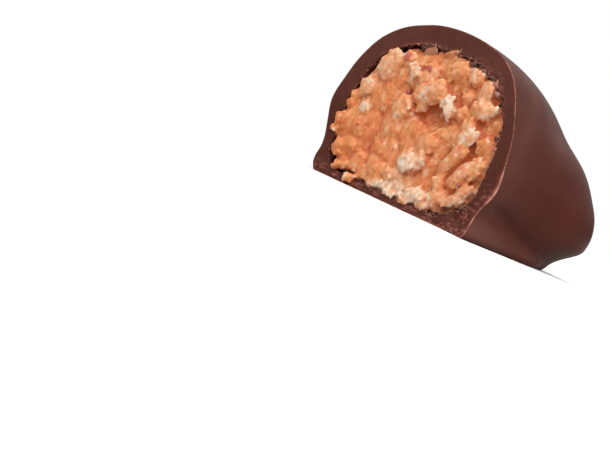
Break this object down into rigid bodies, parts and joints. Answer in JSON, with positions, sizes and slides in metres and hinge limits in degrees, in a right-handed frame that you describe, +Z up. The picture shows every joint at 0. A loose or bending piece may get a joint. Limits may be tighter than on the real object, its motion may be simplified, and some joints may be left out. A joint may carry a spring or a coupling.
{
  "type": "chocolate coconut bar",
  "caption": "Cut half of a small chocolate bar: a dome-topped dark coating with a flat ribbed base and a dripped foot, open at the cut round a craggy toasted coconut filling.",
  "frame": {"origin": "centre of the bounding box's underside, on the flat base that the bar rests on", "axes": "+Z up from the base, +X across the bar's width, -Y out of the cut face, +Y towards the closed end"},
  "size_m": [0.0314, 0.0292, 0.023],
  "materials": {
    "dark_chocolate": "satin dark chocolate with a faint bloom",
    "toasted_coconut": "moist, golden toasted shredded coconut"
  },
  "bodies": {
    "root": {"chocolate_coating": "dark_chocolate", "coconut_filling": "toasted_coconut"}
  },
  "joints": []
}
